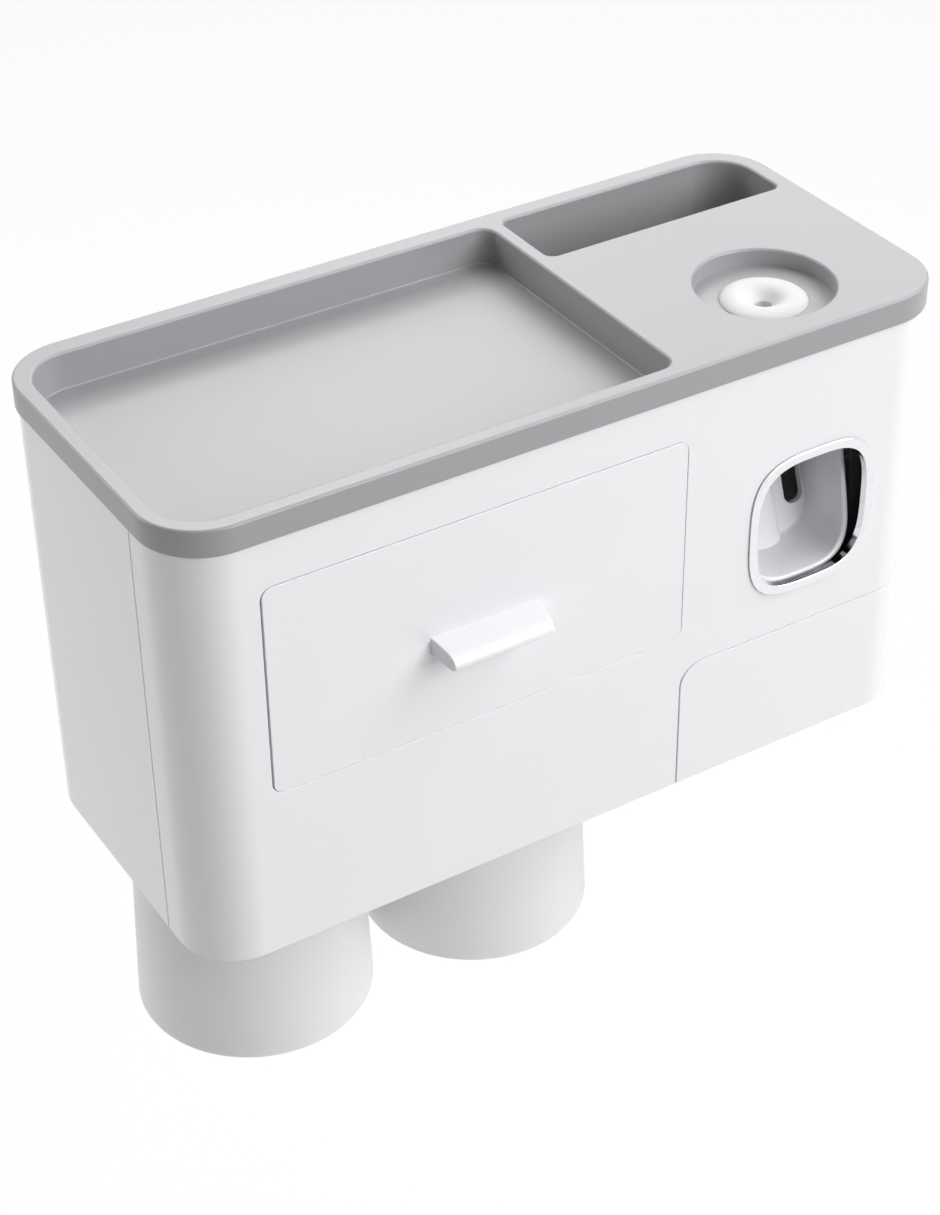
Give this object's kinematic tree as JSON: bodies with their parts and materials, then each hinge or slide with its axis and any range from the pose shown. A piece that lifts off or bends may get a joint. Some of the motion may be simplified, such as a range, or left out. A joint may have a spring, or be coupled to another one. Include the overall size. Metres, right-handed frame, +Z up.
{
  "type": "toothbrush holder",
  "caption": "Wall-hung bathroom toothbrush holder with a grey top tray, phone slot, drawer, push-to-dispense toothpaste pump, brush bay door and magnet-held hanging cups.",
  "frame": {"origin": "centre of the adhesive pad's back face, on the wall", "axes": "+Z up, -Y out of the wall towards the user, +X to the user's right"},
  "size_m": [0.25, 0.1196, 0.201],
  "materials": {
    "white_plastic": "polished white ABS",
    "inner_plastic": "plain white ABS",
    "dark_plastic": "plain charcoal ABS",
    "grey_plastic": "fine satin grey ABS",
    "cup_plastic": "satin white polypropylene",
    "silicone": "soft white silicone",
    "bright_trim": "bright plated ring",
    "steel": "stainless",
    "magnet": "nickel-plated magnet",
    "foam_tape": "double-sided foam tape"
  },
  "bodies": {
    "housing": {"adhesive_pad": "foam_tape", "wall_plate": "inner_plastic", "rear_housing": "white_plastic", "front_cover": "white_plastic", "top_tray": "grey_plastic", "dispenser_bezel": "bright_trim", "dispenser_frame": "dark_plastic", "frame_screw_1": "steel", "frame_screw_2": "steel", "frame_screw_3": "steel", "frame_screw_4": "steel", "lever_pivot_pin": "steel", "pump_cylinder": "inner_plastic", "inlet_valve": "silicone", "inlet_seal": "silicone", "return_spring": "steel", "door_hinge_pin": "steel", "brush_rack": "inner_plastic", "holder_magnet_left": "magnet", "holder_magnet_right": "magnet", "cover_screw_left": "steel", "cover_screw_right": "steel"},
    "drawer": {"drawer_box": "white_plastic", "drawer_handle": "white_plastic"},
    "door": {"brush_door": "white_plastic"},
    "left_cup": {"cup_left": "cup_plastic", "cup_magnet_left": "magnet", "cup_cap_left": "cup_plastic"},
    "right_cup": {"cup_right": "cup_plastic", "cup_magnet_right": "magnet", "cup_cap_right": "cup_plastic"},
    "lever": {"dispenser_lever": "white_plastic"},
    "piston": {"pump_piston": "inner_plastic", "piston_ring": "silicone", "outlet_nozzle": "white_plastic", "outlet_valve": "silicone"}
  },
  "joints": [
    {"name": "drawer_slide", "type": "slide", "parent": "housing", "child": "drawer", "axis": [0, -1, 0], "range_m": [0, 0.07]},
    {"name": "brush_door_hinge", "type": "hinge", "parent": "housing", "child": "door", "pos_m": [0.122, -0.0862, 0], "axis": [0, 0, 1], "range_deg": [0, 90]},
    {"name": "cup_left_pull", "type": "slide", "parent": "housing", "child": "left_cup", "axis": [0, 0, -1], "range_m": [0, 0.06]},
    {"name": "cup_right_pull", "type": "slide", "parent": "housing", "child": "right_cup", "axis": [0, 0, -1], "range_m": [0, 0.06]},
    {"name": "lever_press", "type": "hinge", "parent": "housing", "child": "lever", "pos_m": [0.0788, -0.0925, 0.043], "axis": [1, 0, 0], "range_deg": [0, 11]},
    {"name": "piston_stroke", "type": "slide", "parent": "housing", "child": "piston", "axis": [0, 0, 1], "range_m": [0, 0.0023], "stiffness_N_per_m": 100, "springref_m": -0.006, "deforming": ["return_spring"]}
  ],
  "couplings": [
    {"joint": "lever_press", "follows": "piston_stroke", "rad_per_m": 83.333}
  ]
}
